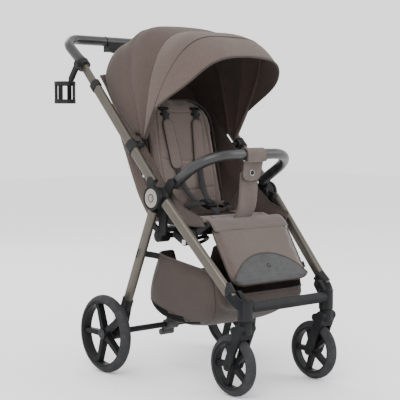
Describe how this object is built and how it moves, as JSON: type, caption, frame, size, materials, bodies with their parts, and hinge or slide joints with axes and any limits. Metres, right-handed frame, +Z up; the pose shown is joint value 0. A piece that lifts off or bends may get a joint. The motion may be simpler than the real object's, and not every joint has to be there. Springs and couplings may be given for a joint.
{
  "type": "folding pushchair",
  "caption": "Folding child pushchair with oval tube frame, caster front wheels, hinged canopy, reclining seat, bumper bar, under-seat basket and telescoping grip handle.",
  "frame": {"origin": "On the floor, under the middle of the overall length and width, with every wheel standing on the floor and the handle, canopy and backrest as pictured.", "axes": "+Z up. The child faces -Y, so the handle is at +Y. +X is the child's left."},
  "size_m": [0.6, 0.925, 1.1515],
  "materials": {
    "taupe_fabric": "matte",
    "champagne_tube": "satin",
    "black_plastic": "matte",
    "wheel_plastic": "satin",
    "grey_plastic": "matte",
    "hub_plastic": "satin",
    "foam_tyre": "matte",
    "spring_steel": "satin",
    "black_leatherette": "satin",
    "slate_leatherette": "satin"
  },
  "bodies": {
    "front_frame": {"hub_front_r": "hub_plastic", "hub_front_l": "hub_plastic", "front_tube_r": "champagne_tube", "front_tube_l": "champagne_tube", "front_casting": "wheel_plastic", "basket_front": "taupe_fabric"},
    "seat_frame": {"hub_upper_r": "black_plastic", "hub_upper_l": "black_plastic", "push_tube_r": "champagne_tube", "push_tube_l": "champagne_tube", "collar_r": "black_plastic", "collar_l": "black_plastic", "canopy_clip_r": "black_plastic", "canopy_clip_l": "black_plastic", "seat_base": "black_plastic", "seat_cushion": "taupe_fabric", "seat_side_r": "taupe_fabric", "seat_side_l": "taupe_fabric", "crotch_strap": "taupe_fabric", "buckle": "black_plastic", "canopy_rear": "taupe_fabric"},
    "pull_ring": {"pull_ring": "black_plastic"},
    "canopy_main": {"canopy_main": "taupe_fabric"},
    "canopy_visor": {"canopy_visor": "taupe_fabric"},
    "handle": {"inner_tube_r": "champagne_tube", "inner_tube_l": "champagne_tube", "grip": "black_leatherette", "release_housing": "black_plastic", "cup_holder": "black_plastic"},
    "release_trigger": {"release_trigger": "black_plastic"},
    "rear_frame": {"hub_rear_r": "black_plastic", "hub_rear_l": "black_plastic", "rear_leg_r": "champagne_tube", "rear_leg_l": "champagne_tube", "leg_foot_r": "black_plastic", "leg_foot_l": "black_plastic", "spring_r": "spring_steel", "spring_l": "spring_steel", "rear_axle": "black_plastic", "basket_rear": "taupe_fabric"},
    "brake_pedal": {"brake_pedal": "grey_plastic"},
    "rear_wheel_r": {"rear_rim_r": "wheel_plastic", "rear_tyre_r": "foam_tyre"},
    "rear_wheel_l": {"rear_rim_l": "wheel_plastic", "rear_tyre_l": "foam_tyre"},
    "caster_r": {"caster_fork_r": "wheel_plastic"},
    "caster_l": {"caster_fork_l": "wheel_plastic"},
    "front_wheel_r": {"front_rim_r": "wheel_plastic", "front_tyre_r": "foam_tyre"},
    "front_wheel_l": {"front_rim_l": "wheel_plastic", "front_tyre_l": "foam_tyre"},
    "backrest": {"backrest": "taupe_fabric", "back_cover": "taupe_fabric", "harness_pad_r": "taupe_fabric", "harness_pad_l": "taupe_fabric"},
    "leg_rest": {"leg_rest": "taupe_fabric", "leg_patch": "slate_leatherette"},
    "bumper_bar": {"bumper_bar": "black_leatherette", "strap_loop": "taupe_fabric"}
  },
  "joints": [
    {"name": "frame_fold", "type": "hinge", "parent": "front_frame", "child": "seat_frame", "pos_m": [0, -0.074, 0.59], "axis": [-1, 0, 0], "range_deg": [0, 12]},
    {"name": "rear_leg_fold", "type": "hinge", "parent": "front_frame", "child": "rear_frame", "pos_m": [0, -0.074, 0.59], "axis": [-1, 0, 0], "range_deg": [0, 45]},
    {"name": "handle_slide", "type": "slide", "parent": "seat_frame", "child": "handle", "axis": [0, 0.7053, 0.7089], "range_m": [-0.075, 0.04]},
    {"name": "release_squeeze", "type": "slide", "parent": "handle", "child": "release_trigger", "axis": [0, 0, 1], "range_m": [0, 0.005], "stiffness_N_per_m": 600, "springref_m": -0.002},
    {"name": "canopy_fold", "type": "hinge", "parent": "seat_frame", "child": "canopy_main", "pos_m": [0, 0.046, 0.755], "axis": [1, 0, 0], "range_deg": [-48, 0]},
    {"name": "visor_flip", "type": "hinge", "parent": "canopy_main", "child": "canopy_visor", "pos_m": [0, 0.046, 0.755], "axis": [1, 0, 0], "range_deg": [-32, 0]},
    {"name": "recline", "type": "hinge", "parent": "seat_frame", "child": "backrest", "pos_m": [0, 0.034, 0.506], "axis": [1, 0, 0], "range_deg": [-60, 0]},
    {"name": "leg_rest_tilt", "type": "hinge", "parent": "seat_frame", "child": "leg_rest", "pos_m": [0, -0.238, 0.51], "axis": [1, 0, 0], "range_deg": [-58, 0]},
    {"name": "bumper_lift", "type": "hinge", "parent": "seat_frame", "child": "bumper_bar", "pos_m": [0, -0.112, 0.636], "axis": [1, 0, 0], "range_deg": [-60, 0]},
    {"name": "recline_pull", "type": "slide", "parent": "seat_frame", "child": "pull_ring", "axis": [0, 0, -1], "range_m": [0, 0.012], "stiffness_N_per_m": 400, "springref_m": -0.002},
    {"name": "brake_press", "type": "hinge", "parent": "rear_frame", "child": "brake_pedal", "pos_m": [0, 0.148, 0.129], "axis": [1, 0, 0], "range_deg": [-18, 0]},
    {"name": "rear_spin_r", "type": "hinge", "parent": "rear_frame", "child": "rear_wheel_r", "pos_m": [-0.281, 0.148, 0.129], "axis": [1, 0, 0], "continuous": true},
    {"name": "rear_spin_l", "type": "hinge", "parent": "rear_frame", "child": "rear_wheel_l", "pos_m": [0.281, 0.148, 0.129], "axis": [1, 0, 0], "continuous": true},
    {"name": "caster_swivel_r", "type": "hinge", "parent": "front_frame", "child": "caster_r", "pos_m": [-0.177, -0.42, 0.26], "axis": [0, 0, 1], "continuous": true},
    {"name": "caster_swivel_l", "type": "hinge", "parent": "front_frame", "child": "caster_l", "pos_m": [0.177, -0.42, 0.26], "axis": [0, 0, 1], "continuous": true},
    {"name": "front_spin_r", "type": "hinge", "parent": "caster_r", "child": "front_wheel_r", "pos_m": [-0.177, -0.368, 0.0945], "axis": [1, 0, 0], "continuous": true},
    {"name": "front_spin_l", "type": "hinge", "parent": "caster_l", "child": "front_wheel_l", "pos_m": [0.177, -0.368, 0.0945], "axis": [1, 0, 0], "continuous": true}
  ],
  "couplings": [
    {"joint": "rear_leg_fold", "follows": "frame_fold", "ratio": 3.75}
  ]
}
